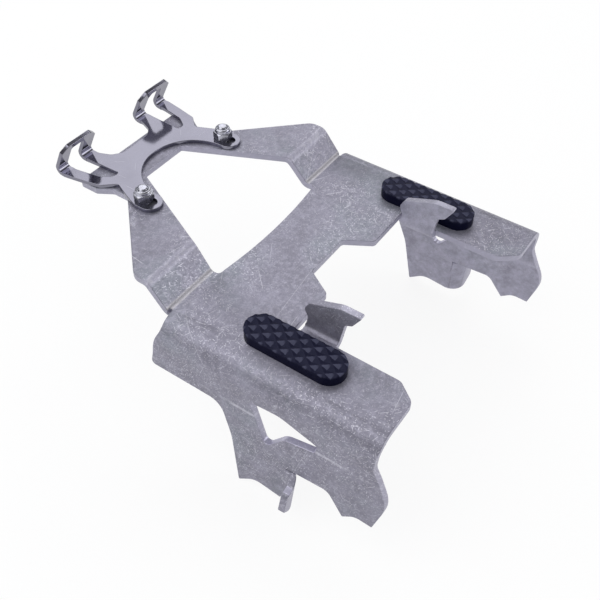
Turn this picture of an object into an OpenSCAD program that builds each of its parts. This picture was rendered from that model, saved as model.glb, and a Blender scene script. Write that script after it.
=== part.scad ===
// Clip-on ski crampon: one bent aluminium plate with two toothed blades, two hooks,
// two rubber tread pads and a steel hook clip held by two bolts with lock nuts.
// Millimetres, +Z up, +Y towards the clip. The origin is on the underside of the plate,
// on the symmetry plane, in the middle of the cross web.

/* [Plate] */
// Thickness of the aluminium sheet
sheet_t = 2.8; // [2.4:0.1:3.2]
// Clear width between the blades, for the ski
inside_w = 125; // [121:0.5:131]
// Inside radius of the bends that turn the blades down
bend_r = 6.2; // [5:0.1:7]
// Height of the raised arms above the plate
arm_rise = 9.9; // [8:0.1:12]
// Slope of the step in the arms, in degrees
step_angle = 50; // [42:1:60]
// Y of the front edge of the bridge that joins the arms
bridge_y = 86.4; // [83:0.1:92]
// Half width of the bridge head
head_hw = 30; // [29:0.1:31]
// Y of the front edge of the plate beside the step
front_y = 16.8; // [16.2:0.1:17.1]
// Y of the rear edge of the wings
rear_y = -74.6; // [-78:0.1:-72]

/* [Blades] */
// Depth of the crease below which the blades lean outwards
crease_z = 15.5; // [13:0.1:16.5]
// Lean of the blades below the crease, in degrees
blade_lean = 5.2; // [2:0.1:8]
// Depth of the main tooth
tooth_z = 59.8; // [58:0.1:62]
// Depth of the front tooth of the rear pair
rear_tooth_z = 44.4; // [43:0.1:47]
// Depth of the cut edge under the front apron
apron_z = 21.3; // [20:0.1:24]
// Angle by which the stiffening lobe is turned out, in degrees
lobe_angle = 85; // [75:1:88]
// Inside radius of the lobe's bend
lobe_r = 3.6; // [3:0.1:4.2]

/* [Hooks] */
// Distance of the hook's bend line from the symmetry plane
hook_x = 37.2; // [36.4:0.1:37.6]
// Inside radius of the hook's bend
hook_r = 2.2; // [1.6:0.1:2.8]
// Height of the hook above the underside of the plate
hook_z = 19.8; // [19:0.1:22]

/* [Clip] */
// Thickness of the steel sheet
clip_t = 1.6; // [1.2:0.1:2]
// Distance of each ear and its bolt from the symmetry plane
ear_x = 24.9; // [24.3:0.1:25.3]
// Radius of the ear's round end
ear_r = 5; // [4.7:0.1:5.4]
// Distance of the ear's round end behind the front edge of the bridge
ear_back = 33; // [32.5:0.1:33.5]
// Length of the slot between the centres of its round ends
slot_travel = 5.6; // [4.6:0.1:6]
// Distance of the front face of the loops before the front edge of the bridge
loop_reach = 10.6; // [9.6:0.1:12.6]
// Backward lean of the loops, in degrees
loop_lean = 27; // [15:1:32]
// Length of the loop above its bend
loop_l = 12.1; // [11.5:0.1:14]

/* [Fasteners] */
// Diameter of the bolts
bolt_d = 4; // [3.8:0.1:4]
// Width of the nut across its flats
nut_af = 7; // [6.9:0.1:7.2]
// Height of the lock nut
nut_h = 5; // [4.8:0.1:5.6]
// Diameter of the bolt head
head_d = 8; // [7:0.1:8.4]
// Height of the bolt head
head_h = 2.4; // [2.2:0.1:3]

/* [Pads] */
// Length of the tread pad
pad_l = 41; // [36:0.5:42]
// Width of the tread pad
pad_w = 13; // [12:0.1:13.4]
// Height of the tread pad with its pyramids
pad_h = 4.5; // [3.5:0.1:5.5]
// Height of the pyramids
tread_h = 1; // [0.6:0.1:1.4]
// Spacing of the pyramids across the pad
tread_px = 5; // [4:0.1:6.5]
// Spacing of the pyramids along the pad
tread_py = 6.1; // [5:0.1:7]

/* [Clearances] */
// Free height of the clip between the arms and the nuts
slide_gap = 0.05; // [0.03:0.01:0.2]
// Radial clearance of the bolt in the arm
hole_gap = 0.15; // [0.1:0.05:0.3]
// Side clearance of the bolt in the slot
slot_gap = 0.3; // [0.2:0.05:0.35]
// Radial clearance of the nut on the bolt and of the ring in the nut
thread_gap = 0.04; // [0.03:0.01:0.08]

/* [Hidden] */
$fn = 64;
// where the flat plate ends and the blade bends begin
xb = inside_w / 2 - bend_r;
// outer face of the blades above the crease
xo = inside_w / 2 + sheet_t;
// ears and loops keep their distances from the bridge
ear_y = bridge_y - ear_back;
loop_y = bridge_y + loop_reach;
// bolt centre: the rest position of the clip leaves 2 mm of slot behind it
bolt_y = ear_y + 3;
slot_y0 = bolt_y - 3.6;
slot_y1 = slot_y0 + slot_travel;
// heights of the stack on the arms
arm_top = arm_rise + sheet_t;
clip_z = arm_top + slide_gap;
nut_z = clip_z + clip_t + slide_gap;
bolt_r = bolt_d / 2;
pad_x = xb - 8.7;
pad_y = -30.7;

// Turns a corner of an outline into an arc of radius r, or less where the edges are short.
function unit(v) = v / norm(v);
function arc_at(a, b, c, r, n) =
    let (u = unit(a - b), v = unit(c - b), half = acos(u * v) / 2)
    r <= 0 || half > 89.5 ? [b] :
    let (d = min(r / tan(half), 0.48 * norm(a - b), 0.48 * norm(c - b)),
         rr = d * tan(half),
         m = b + unit(u + v) * rr / sin(half),
         s = b + u * d - m,
         a0 = atan2(s.y, s.x),
         turn = cross(u, v) < 0 ? 180 - 2 * half : 2 * half - 180)
    [for (i = [0:n]) m + rr * [cos(a0 + turn * i / n), sin(a0 + turn * i / n)]];
// Outline from corners [x, y, radius].
function rounded(p, n = 6) =
    let (k = len(p))
    [for (i = [0:k - 1])
        let (a = p[(i + k - 1) % k], b = p[i], c = p[(i + 1) % k])
        each arc_at([a.x, a.y], [b.x, b.y], [c.x, c.y], b.z, n)];
// Corners of a half outline followed by their mirror images in reverse order.
function both(p) = concat(p, [for (i = [len(p) - 1:-1:0]) [-p[i].x, p[i].y, p[i].z]]);

// Drawings in (y, z) pushed along X, and in (x, z) pushed along Y.
module along_x(x0, x1) {
    translate([x0, 0, 0])
        rotate([90, 0, 90])
            linear_extrude(x1 - x0)
                children();
}
module along_y(y0, y1) {
    translate([0, y1, 0])
        rotate([90, 0, 0])
            linear_extrude(y1 - y0)
                children();
}

// Flat outline of the plate seen from above, out to the blade bends.
module plate_outline() {
    diagonal = bridge_y + 4.2;
    // the arms stand out beyond the bend lines; a slit parts them from the blades
    arm_out = 1.5;
    polygon(rounded(both([
        [head_hw, bridge_y, 1.5],
        [head_hw, bridge_y - 8.8, 2],
        [26.3, bridge_y - 14.8, 2.5],
        [26.3, diagonal - 26.3, 3],
        [xb + arm_out, diagonal - xb - arm_out, 6],
        [xb + arm_out, front_y + 1.2, 0.5],
        [xb, front_y + 1.2, 0],
        [xb, rear_y, 0],
        [43, rear_y, 4],
        [hook_x, -67, 4],
        [hook_x, -26.5, 0],
        [hook_x + 1.8, -26.5, 0.9],
        [hook_x + 1.8, -24.3, 0.9],
        [17.3, -24.3, 1.8],
        [10.6, -13.3, 2]])));
}

// Large opening between the arms; its rear edge is a shallow arc.
module opening_outline() {
    sag_r = 222;
    polygon(rounded(concat(
        [for (i = [0:8]) let (x = 29 - 58 * i / 8) [x, 12.4 + x * x / (2 * sag_r), 0]],
        [[-32.3, 14.6, 3],
         [-31.3, 27, 10],
         [-11.5, bridge_y - 17.9, 0.4],
         [11.5, bridge_y - 17.9, 0.4],
         [31.3, 27, 10],
         [32.3, 14.6, 3]])));
}

// Side profile of the sheet: level plate, step and raised arms.
module step_profile() {
    r = 2;
    y0 = 19.4;
    y1 = y0 + arm_rise / tan(step_angle);
    back = sheet_t * tan(step_angle / 2);
    polygon(rounded([
        [rear_y - 2, 0, 0],
        [y0, 0, r + sheet_t],
        [y1, arm_rise, r],
        [bridge_y + 2, arm_rise, 0],
        [bridge_y + 2, arm_rise + sheet_t, 0],
        [y1 - back, arm_rise + sheet_t, r + sheet_t],
        [y0 - back, sheet_t, r],
        [rear_y - 2, sheet_t, 0]]));
}

module centre_sheet() {
    intersection() {
        translate([0, 0, -1])
            linear_extrude(arm_rise + sheet_t + 2)
                difference() {
                    plate_outline();
                    opening_outline();
                }
        along_x(-inside_w / 2, inside_w / 2)
            step_profile();
    }
}

// End points of the lobe's bend line, in (y, z) on the blade.
lobe_a = [-39.2, -55.2];
lobe_b = [-40.4, -36.3];

// Blade outline in (y, z): apron, main tooth, lobe root, rear teeth and neck.
module blade_outline() {
    polygon(rounded([
        [front_y, sheet_t + 1, 0],
        [front_y, -1.5, 4],
        [front_y + 3.4, -8.5, 25],
        [front_y + 5.4, -apron_z, 1.8],
        [-10.5, -apron_z, 7],
        [-16, -36, 30],
        [-20, -tooth_z, 0.5],
        [-27.5, -53.9, 8],
        [lobe_a.x, lobe_a.y, 0],
        [lobe_b.x, lobe_b.y, 0],
        [-58.5, -35.2, 4],
        [-65.6, -rear_tooth_z, 0.4],
        [-70.5, -rear_tooth_z + 4.2, 6],
        [-77.4, -rear_tooth_z + 3.9, 0.4],
        [-81.3, -25.5, 14],
        [rear_y + 0.6, -10.5, 6],
        [rear_y, -1, 3],
        [rear_y, sheet_t + 1, 0]]));
}

// Lightening window in the blade.
module window_outline() {
    polygon(rounded([
        [-23.4, -11.6, 1],
        [-36.4, -10.2, 14],
        [-52.2, -15, 1.2],
        [-51.6, -18.8, 1.2],
        [-38.8, -21.6, 6],
        [-31.2, -30.8, 1.8]]));
}

// Section of the blade sheet in (x, z): upright down to the crease, leaning out below it.
module blade_section() {
    low = tooth_z + 6;
    out = (low - crease_z) * tan(blade_lean);
    mitre = sheet_t * tan(blade_lean / 2);
    polygon([
        [xo, -bend_r],
        [xo, -crease_z],
        [xo + out, -low],
        [xo + out - sheet_t / cos(blade_lean), -low],
        [xo - sheet_t, -crease_z - mitre],
        [xo - sheet_t, -bend_r]]);
}

// Quarter bend from the flat plate into the blade.
module blade_bend() {
    translate([xb, rear_y - 10, -bend_r])
        rotate([-90, -90, 0])
            rotate_extrude(angle = 90)
                translate([bend_r, 0])
                    square([sheet_t, front_y - rear_y + 20]);
}

// Lobe turned outwards about a slanted line, for stiffness. The press draws its sheet a
// little thinner than the blade, and its root reaches into the blade.
module lobe() {
    run = norm(lobe_b - lobe_a);
    tilt = atan2(lobe_a.x - lobe_b.x, lobe_b.y - lobe_a.y);
    thin = 0.04;
    near = lobe_r + thin;
    far = lobe_r + sheet_t - thin;
    root = 1.5;
    flat = 12 * [cos(lobe_angle), sin(lobe_angle)];
    n = 10;
    bend = [for (i = [0:n]) [sin(lobe_angle * i / n), -cos(lobe_angle * i / n)]];
    translate([xo, 0, -crease_z])
        rotate([0, -blade_lean, 0])
            translate([0, lobe_a.x, lobe_a.y + crease_z])
                rotate([tilt, 0, 0])
                    rotate([0, 0, -90])
                        translate([0, lobe_r, 0])
                            intersection() {
                                translate([0, 0, -1])
                                    linear_extrude(run + 1)
                                        polygon(concat(
                                            [[-root, -near]],
                                            near * bend,
                                            [near * bend[n] + flat, far * bend[n] + flat],
                                            [for (i = [n:-1:0]) far * bend[i]],
                                            [[-root, -far]]));
                                rotate([0, 0, lobe_angle])
                                    along_y(-14, 6)
                                        polygon(rounded([
                                            [-8, 0.3, 0],
                                            [0.5, 0.8, 3],
                                            [4.7, 5, 2.5],
                                            [4, run - 5, 2.5],
                                            [0, run - 4, 4],
                                            [-4.2, run - 0.3, 2],
                                            [-8, run - 0.3, 0]]));
                            }
}

module blade() {
    // the blade's sheet runs this far into the flat plate, up to the step
    lap = 2;
    difference() {
        intersection() {
            union() {
                blade_bend();
                along_y(rear_y - 12, front_y + 10)
                    blade_section();
                along_y(rear_y - 12, front_y - 2)
                    translate([xb - lap, 0])
                        square([lap, sheet_t]);
            }
            along_x(xb - lap, xo + 12)
                blade_outline();
        }
        along_x(xb, xo + 12)
            window_outline();
    }
    lobe();
}

// Hook turned up from the inner edge of the wing, with a beak that points backwards.
module hook() {
    intersection() {
        union() {
            translate([hook_x, -20, sheet_t + hook_r])
                rotate([90, 0, 0])
                    rotate([0, 0, 180])
                        rotate_extrude(angle = 90)
                            translate([hook_r, 0])
                                square([sheet_t, 32]);
            along_y(-52, -20)
                translate([hook_x - hook_r - sheet_t, sheet_t + hook_r])
                    square([sheet_t, hook_z]);
        }
        along_x(hook_x - hook_r - sheet_t - 1, hook_x)
            polygon(rounded([
                [-26.5, -1, 0],
                [-26.7, 4, 4],
                [-27.4, 7.5, 3],
                [-25.8, 11.5, 2],
                [-27.8, 15, 2],
                [-40.5, hook_z, 8],
                [-48.8, hook_z, 0.6],
                [-45.3, 14, 2],
                [-42.6, 12.8, 1.5],
                [-41, 4, 4],
                [-41, -1, 0]]));
    }
}

module main_plate() {
    color([0.66, 0.66, 0.71])
        difference() {
            union() {
                centre_sheet();
                for (side = [0, 1])
                    mirror([side, 0, 0]) {
                        blade();
                        hook();
                    }
            }
            for (side = [-1, 1])
                translate([side * ear_x, bolt_y, arm_rise - 1])
                    cylinder(h = sheet_t + 2, r = bolt_r + hole_gap);
        }
}

// Edges of the two strips that carry each loop: inner strip, then outer strip.
strip = [13.5, 19.4, 26.8, 32];
loop_r = 1.4;
bend_y = loop_y - loop_r - clip_t;
// the flat strips end just before the bends, inside the laps of the loops
flat_y = bend_y - 0.5;

// Flat part of the clip from above, with its slots, windows and the arch at the rear.
module clip_outline() {
    difference() {
        union() {
            polygon(rounded(both([
                [7.5, bridge_y - 2.9, 4],
                [11.4, bridge_y, 4],
                [strip[0], bridge_y + 5.1, 6],
                [strip[0], flat_y, 0],
                [strip[3], flat_y, 0],
                [strip[3], bend_y - 2, 6],
                [31, bridge_y - 0.4, 8],
                [29, bridge_y - 10.2, 2.5],
                [24.2, bridge_y - 15.4, 1.5],
                [27.6, bridge_y - 22.9, 10],
                [ear_x + ear_r, ear_y + 4.1, 6],
                [ear_x + ear_r, ear_y, 0]])));
            for (side = [-1, 1])
                translate([side * ear_x, ear_y])
                    circle(r = ear_r);
        }
        translate([0, ear_y])
            circle(r = ear_x - ear_r, $fn = 96);
        translate([ear_r - ear_x, ear_y - 20])
            square([2 * (ear_x - ear_r), 20]);
        for (side = [0, 1])
            mirror([side, 0])
                polygon(rounded([
                    [strip[1], bend_y + 1, 0],
                    [strip[1], bend_y - 2, 6],
                    [18.6, bridge_y - 10.7, 1],
                    [21.8, bridge_y - 10.7, 2],
                    [25, bridge_y - 6, 4],
                    [strip[2], bridge_y + 4.6, 12],
                    [strip[2], bend_y + 1, 0]]));
        for (side = [-1, 1]) {
            for (y = [slot_y0, slot_y1])
                translate([side * ear_x, y])
                    circle(r = bolt_r + slot_gap);
            translate([side * ear_x - bolt_r - slot_gap, slot_y0])
                square([bolt_d + 2 * slot_gap, slot_travel]);
        }
    }
}

// Side profile of a loop: a lap on the flat part, the bend, and the leaning leg.
module loop_profile() {
    lap = 1;
    turn = [for (i = [0:8]) let (a = (90 + loop_lean) * i / 8) [sin(a), -cos(a)]];
    leg = (loop_l + 1) * [-sin(loop_lean), cos(loop_lean)];
    outer = loop_r + clip_t;
    polygon(concat(
        [[-lap, -loop_r], [-lap, -outer]],
        outer * turn,
        [outer * turn[8] + leg, loop_r * turn[8] + leg],
        [for (i = [8:-1:0]) loop_r * turn[i]]));
}

// One loop: two strips bent up and joined by a top bar with cut corners. Bending swells
// the edges of the strips a little beyond those of the flat part.
module loop() {
    low = -12;
    swell = 0.05;
    translate([0, bend_y, clip_z + clip_t + loop_r])
        intersection() {
            along_x(strip[0] - swell, strip[3] + swell)
                loop_profile();
            rotate([loop_lean, 0, 0])
                along_y(-20, 20)
                    difference() {
                        polygon(rounded([
                            [strip[0] - 1, low, 0],
                            [strip[0] - 1, loop_l - 4.7, 1],
                            [strip[0] + 3.4, loop_l, 1.5],
                            [strip[3] - 3, loop_l, 1.5],
                            [strip[3] + 1, loop_l - 4.2, 1],
                            [strip[3] + 1, low, 0]]));
                        polygon(rounded([
                            [strip[1] + swell, low - 1, 0],
                            [strip[2] - swell, low - 1, 0],
                            [strip[2] - swell, loop_l - 2.9, 1.2],
                            [strip[1] + 1.6, loop_l - 2.9, 0.6],
                            [strip[1] + swell, loop_l - 4.7, 0.6]]));
                    }
        }
}

module hook_clip() {
    color([0.78, 0.78, 0.8]) {
        translate([0, 0, clip_z])
            linear_extrude(clip_t)
                clip_outline();
        for (side = [0, 1])
            mirror([side, 0, 0])
                loop();
    }
}

// Domed bolt head under the arm with a hexagon socket; the shank ends just above the nut.
module bolt() {
    color([0.55, 0.55, 0.58])
        difference() {
            rotate_extrude()
                polygon(concat(
                    [[0, arm_rise - head_h], [head_d / 2 - 1.6, arm_rise - head_h]],
                    [for (a = [0:15:90])
                        [head_d / 2 - 1.6 + 1.6 * sin(a), arm_rise - head_h + 1.6 * (1 - cos(a))]],
                    [[head_d / 2, arm_rise],
                     [bolt_r, arm_rise],
                     [bolt_r, nut_z + nut_h + 0.1],
                     [bolt_r - 0.5, nut_z + nut_h + 0.6],
                     [0, nut_z + nut_h + 0.6]]));
            translate([0, 0, arm_rise - head_h - 0.1])
                cylinder(h = 1.5, r = 2.5 / sqrt(3), $fn = 6);
        }
}

ring_z = nut_z + nut_h - 1.5;
ring_r = bolt_r + 0.6;

// Hexagon with chamfered corners, a round collar, and a pocket for the locking ring.
module lock_nut() {
    hex_h = nut_h - 1.7;
    corner_r = nut_af / sqrt(3);
    collar_r = nut_af / 2 - 0.35;
    color([0.8, 0.8, 0.82])
        difference() {
            union() {
                intersection() {
                    translate([0, 0, nut_z])
                        rotate([0, 0, 12])
                            cylinder(h = hex_h, r = corner_r, $fn = 6);
                    rotate_extrude()
                        polygon([
                            [0, nut_z],
                            [corner_r - 0.35, nut_z],
                            [corner_r + 0.15, nut_z + 0.35],
                            [corner_r + 0.15, nut_z + hex_h - 0.45],
                            [corner_r - 0.55, nut_z + hex_h],
                            [0, nut_z + hex_h]]);
                }
                rotate_extrude()
                    polygon([
                        [0, nut_z + hex_h - 0.5],
                        [collar_r, nut_z + hex_h - 0.5],
                        [collar_r, nut_z + nut_h - 0.8],
                        [collar_r - 0.22, nut_z + nut_h - 0.3],
                        [collar_r - 0.75, nut_z + nut_h],
                        [0, nut_z + nut_h]]);
            }
            translate([0, 0, nut_z - 1])
                cylinder(h = nut_h + 2, r = bolt_r + thread_gap);
            translate([0, 0, ring_z])
                cylinder(h = 1.1, r = ring_r + thread_gap);
            translate([0, 0, ring_z])
                cylinder(h = 3, r = bolt_r + 0.35);
        }
}

// Nylon ring that grips the bolt thread.
module nut_ring() {
    color([0.55, 0.58, 0.62])
        difference() {
            translate([0, 0, ring_z])
                cylinder(h = 1.05, r = ring_r);
            translate([0, 0, ring_z - 1])
                cylinder(h = 4, r = bolt_r + thread_gap);
        }
}

// Ridges that cross the pad at a slant: a solid with a saw-tooth top.
module ridges(turn) {
    across = tread_px * tread_py / norm([tread_px, tread_py]);
    n = ceil(pad_l / across);
    rotate([0, 0, turn])
        along_y(-pad_l, pad_l)
            polygon(concat(
                [for (i = [-n:0.5:n])
                    [i * across, i == round(i) ? pad_h : pad_h - tread_h]],
                [[n * across, 0], [-n * across, 0]]));
}

// Rubber pad: where two sets of slanted ridges cross, they leave rows of pyramids.
module pad() {
    color([0.07, 0.07, 0.08])
        translate([pad_x, pad_y, sheet_t])
            intersection() {
                linear_extrude(pad_h)
                    union() {
                        for (side = [-1, 1])
                            translate([0, side * (pad_l - pad_w) / 2])
                                circle(r = pad_w / 2);
                        square([pad_w, pad_l - pad_w], center = true);
                    }
                ridges(atan2(tread_px, tread_py));
                ridges(-atan2(tread_px, tread_py));
            }
}

module left_pad() {
    mirror([1, 0, 0])
        pad();
}
module right_pad() {
    pad();
}
module left_bolt() {
    translate([-ear_x, bolt_y, 0])
        bolt();
}
module right_bolt() {
    translate([ear_x, bolt_y, 0])
        bolt();
}
module left_lock_nut() {
    translate([-ear_x, bolt_y, 0])
        lock_nut();
}
module right_lock_nut() {
    translate([ear_x, bolt_y, 0])
        lock_nut();
}
module left_nut_ring() {
    translate([-ear_x, bolt_y, 0])
        nut_ring();
}
module right_nut_ring() {
    translate([ear_x, bolt_y, 0])
        nut_ring();
}

main_plate();
left_pad();
right_pad();
hook_clip();
left_bolt();
right_bolt();
left_lock_nut();
right_lock_nut();
left_nut_ring();
right_nut_ring();
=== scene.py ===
"""Clip-on ski crampon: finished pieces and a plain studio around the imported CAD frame."""

import functools
import math

import bmesh
import bpy
import numpy as np
from bpy.props import FloatProperty, FloatVectorProperty, IntProperty, PointerProperty
from mathutils import Matrix, Vector


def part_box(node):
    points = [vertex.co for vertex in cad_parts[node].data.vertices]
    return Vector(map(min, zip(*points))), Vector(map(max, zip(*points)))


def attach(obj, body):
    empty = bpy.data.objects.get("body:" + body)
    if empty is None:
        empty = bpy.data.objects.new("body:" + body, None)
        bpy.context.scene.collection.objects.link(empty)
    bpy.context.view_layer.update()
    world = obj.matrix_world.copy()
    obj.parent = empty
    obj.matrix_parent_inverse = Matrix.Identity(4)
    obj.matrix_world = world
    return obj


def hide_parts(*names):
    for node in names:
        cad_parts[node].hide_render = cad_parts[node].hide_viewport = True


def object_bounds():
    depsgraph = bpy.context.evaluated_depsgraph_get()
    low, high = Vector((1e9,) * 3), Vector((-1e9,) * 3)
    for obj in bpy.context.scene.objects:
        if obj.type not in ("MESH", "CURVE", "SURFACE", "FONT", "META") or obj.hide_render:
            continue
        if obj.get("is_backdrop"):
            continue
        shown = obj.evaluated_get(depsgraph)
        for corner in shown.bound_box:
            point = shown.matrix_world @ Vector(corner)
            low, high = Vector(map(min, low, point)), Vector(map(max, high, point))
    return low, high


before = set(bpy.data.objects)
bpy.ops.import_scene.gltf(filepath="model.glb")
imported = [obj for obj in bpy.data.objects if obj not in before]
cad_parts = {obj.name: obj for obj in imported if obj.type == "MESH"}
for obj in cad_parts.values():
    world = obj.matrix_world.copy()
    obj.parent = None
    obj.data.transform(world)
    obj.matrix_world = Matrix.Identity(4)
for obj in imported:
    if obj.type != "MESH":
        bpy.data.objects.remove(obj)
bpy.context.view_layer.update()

bl_info = {
    "name": "Ski crampon",
    "version": (1, 0, 0),
    "blender": (4, 5, 0),
    "location": "3D View > Sidebar > Crampon",
    "description": "Finishes a clip-on ski crampon around its CAD frame",
    "category": "Object",
}

MM = 0.001
SIDES = ("left", "right")

# Places of bends and marks on the plate and the clip
WING_END_X = 56.2 * MM
BLADE_BEND_X = 61.5 * MM
BLADE_BEND_Z = -9.0 * MM
ARMS_FROM_Y = 19.0 * MM
ARMS_TOP_Z = 13.0 * MM
HOOK_SPAN_X = (31.0 * MM, 37.3 * MM)
HOOK_BEHIND_Y = -20.0 * MM
HOOK_FROM_Z = 2.85 * MM
CLIP_LOOPS_Y = 93.2 * MM
SHEET_FOOT_Z = -0.1 * MM
STEP_MIDDLE_Y = 23.5 * MM
STEP_UPPER_Y = 25.2 * MM
STEP_LOWER_Y = 17.8 * MM
BLADE_CREASE_Z = -17.9 * MM
CREASE_FRONT_Y = -20.5 * MM
CREASE_REAR_Y = -57.5 * MM
LOBE_ROOT_Y = -39.7 * MM

# Nicks and scratches: size of a cell, half length and half width of its mark in mm, and the share of cells
# that have one
SHORT_MARKS = ((0.95, 0.30, 0.17, 0.55), (1.7, 0.75, 0.15, 0.75), (4.3, 2.0, 0.13, 0.6))
LONG_MARKS = ((14.0, 6.5, 0.11, 0.5), (38.0, 18.0, 0.10, 0.9))
RUB_MARKS = (1.25, 0.9, 0.16, 0.95)
WIPE_MARKS = (7.0, 3.0, 0.05, 0.5)

# Range of most values of a noise
NOISE_RANGE = (0.3, 0.7)

# Part of the rise of the arms' step that counts as length along the sheet
STEP_SHARE = 0.4

# Factors on the red, green and blue of a finish
COOL_TINT = (0.95, 1.04, 0.98)
CREASE_TINT = (1.75, 1.75, 1.5)
ZINC_BLOOM = (1.05, 1.06, 1.12)

# Fixed colours of marks and wear, and of the painted highlight on the rubber
WIPE_MARK = (0.85, 0.85, 0.88)
RUBBER_DUST = (0.05, 0.052, 0.08)
# Painted highlight on one side of the rubber's hollows
PAINTED_HIGHLIGHT_RUBBER = (0.066, 0.068, 0.108)
RUBBER_SHEEN = (0.7, 0.71, 1.0, 1.0)

WHITE = (1.0, 1.0, 1.0, 1.0)
SKY_COLOUR = (0.97, 0.98, 1.0, 1.0)

# Sines of the heights between which the white horizon fades into the dim room that polished faces see
HORIZON_RIM = (0.06, 0.24)

# Half width of the floor in metres, its distance below the object, the share of plain white in it as it is
# seen, and how much dimmer polished faces see it
FLOOR_HALF = 6.0
FLOOR_GAP = 0.05 * MM
FLOOR_WHITE = 0.87
FLOOR_DIMMED = 0.22

# Width of the camera's sensor in millimetres, and the nearest and farthest that it sees in metres
SENSOR_WIDTH = 36.0
SIGHT = (0.01, 50.0)

# Diameter and place in metres of each lamp, which looks at the origin
LAMPS = {
    "key": (1.2, (-0.52, 0.44, 0.93)),
    "back": (0.92, (0.61, 0.437, 0.868)),
    "fill": (0.8, (0.60, -0.95, 0.34)),
}


# Properties that a user would change

class CramponSizes(bpy.types.PropertyGroup):
    """Sizes of the details that the finished pieces add to the solids."""

    plate_edge: FloatProperty(
        name="Plate edge", description="Rounding of the cut edges of the aluminium sheet",
        default=0.32 * MM, min=0.05 * MM, max=0.36 * MM, unit="LENGTH")
    clip_edge: FloatProperty(
        name="Clip edge", description="Rounding of the cut edges of the steel sheet",
        default=0.22 * MM, min=0.05 * MM, max=0.3 * MM, unit="LENGTH")
    edge_steps: IntProperty(
        name="Edge steps", description="Number of faces across a rounded edge",
        default=3, min=1, max=6)
    tread_across: FloatProperty(
        name="Tread spacing across", description="Spacing of the hollows across the pad",
        default=5.0 * MM, unit="LENGTH")
    tread_along: FloatProperty(
        name="Tread spacing along", description="Spacing of the hollows along the pad",
        default=6.1 * MM, unit="LENGTH")
    tread_depth: FloatProperty(
        name="Tread depth", description="Depth of the hollows",
        default=0.65 * MM, unit="LENGTH")
    pad_rim: FloatProperty(
        name="Pad rim", description="Rounding of the upper rim of the pad",
        default=0.15 * MM, unit="LENGTH")
    thread_pitch: FloatProperty(
        name="Thread pitch", description="Pitch of the bolt's thread",
        default=0.7 * MM, unit="LENGTH")
    thread_depth: FloatProperty(
        name="Thread depth", description="Depth of the bolt's thread",
        default=0.4 * MM, unit="LENGTH")


class CramponColours(bpy.types.PropertyGroup):
    """Colours of the finishes."""

    aluminium: FloatVectorProperty(
        name="Aluminium", description="Satin aluminium of the plate",
        default=(0.30, 0.292, 0.362), subtype="COLOR", size=3, min=0, max=1)
    nick: FloatVectorProperty(
        name="Nicks", description="Fresh metal in scratches and nicks",
        default=(0.86, 0.85, 0.94), subtype="COLOR", size=3, min=0, max=1)
    steel: FloatVectorProperty(
        name="Steel", description="Polished steel of the clip",
        default=(0.27, 0.266, 0.325), subtype="COLOR", size=3, min=0, max=1)
    zinc: FloatVectorProperty(
        name="Zinc", description="Bright zinc of the nuts and bolts",
        default=(0.58, 0.58, 0.64), subtype="COLOR", size=3, min=0, max=1)
    nylon: FloatVectorProperty(
        name="Nylon", description="Locking rings in the nuts",
        default=(0.55, 0.57, 0.62), subtype="COLOR", size=3, min=0, max=1)
    rubber: FloatVectorProperty(
        name="Rubber", description="Black rubber of the tread pads",
        default=(0.005, 0.0053, 0.019), subtype="COLOR", size=3, min=0, max=1)
    floor: FloatVectorProperty(
        name="Floor", description="Plain pale floor",
        default=(0.94, 0.94, 0.94), subtype="COLOR", size=3, min=0, max=1)


class CramponStudio(bpy.types.PropertyGroup):
    """Camera and light."""

    eye: FloatVectorProperty(
        name="Eye", description="Place of the camera",
        default=(-0.20202, -0.13389, 0.22508), subtype="TRANSLATION", unit="LENGTH", size=3)
    heading: FloatProperty(
        name="Heading", description="Turn of the camera about the upright axis",
        default=math.radians(-56.67), subtype="ANGLE")
    elevation: FloatProperty(
        name="Elevation", description="Height of the camera above the horizon",
        default=math.radians(46.51), subtype="ANGLE")
    roll: FloatProperty(
        name="Roll", description="Turn of the picture about the line of sight",
        default=math.radians(1.35), subtype="ANGLE")
    lens: FloatProperty(
        name="Lens", description="Focal length of the lens in millimetres on a 36 mm sensor",
        default=50.21, min=10)
    sky: FloatProperty(
        name="Sky", description="Strength of the even light from all round",
        default=0.62, min=0)
    ceiling: FloatProperty(
        name="Ceiling", description="Brightness of the dim room that shows in polished faces",
        default=0.18, min=0)
    key: FloatProperty(
        name="Key lamp", description="Power of the broad lamp at the left in watts",
        default=5.0, min=0)
    back: FloatProperty(
        name="Back lamp", description="Power of the broad lamp high at the back in watts",
        default=2.9, min=0)
    fill: FloatProperty(
        name="Fill lamp", description="Power of the low lamp at the right front in watts",
        default=3.2, min=0)


def finish_colour(name):
    """Colour of a finish, as it is set in the panel."""
    return tuple(getattr(bpy.context.scene.crampon_colours, name))


# Node trees and materials

def add_node(tree, kind, values=None, **settings):
    """Adds a node. In values, a socket is linked to the input of that name and anything else is set on it."""
    node = tree.nodes.new(kind)
    for name, value in settings.items():
        setattr(node, name, value)
    for name, value in (values or {}).items():
        socket = node.inputs[name]
        if isinstance(value, bpy.types.NodeSocket):
            tree.links.new(value, socket)
        else:
            socket.default_value = value
    return node


def maths(tree, operation, a, b=0.0, c=0.0, clamp=False):
    """The result of one arithmetic step on two or three numbers or sockets."""
    node = add_node(tree, "ShaderNodeMath", {0: a, 1: b, 2: c}, operation=operation)
    node.use_clamp = clamp
    return node.outputs[0]


def span(tree, value, low, high, to_low=0.0, to_high=1.0):
    """Smooth step: value from low to high becomes to_low to to_high."""
    return add_node(tree, "ShaderNodeMapRange", {
        "Value": value, "From Min": low, "From Max": high, "To Min": to_low, "To Max": to_high,
    }, interpolation_type="SMOOTHSTEP").outputs[0]


def product(tree, *factors):
    """The product of numbers or sockets."""
    return functools.reduce(lambda a, b: maths(tree, "MULTIPLY", a, b), factors)


def largest(tree, *values):
    """The largest of several sockets."""
    return functools.reduce(lambda a, b: maths(tree, "MAXIMUM", a, b), values)


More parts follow.
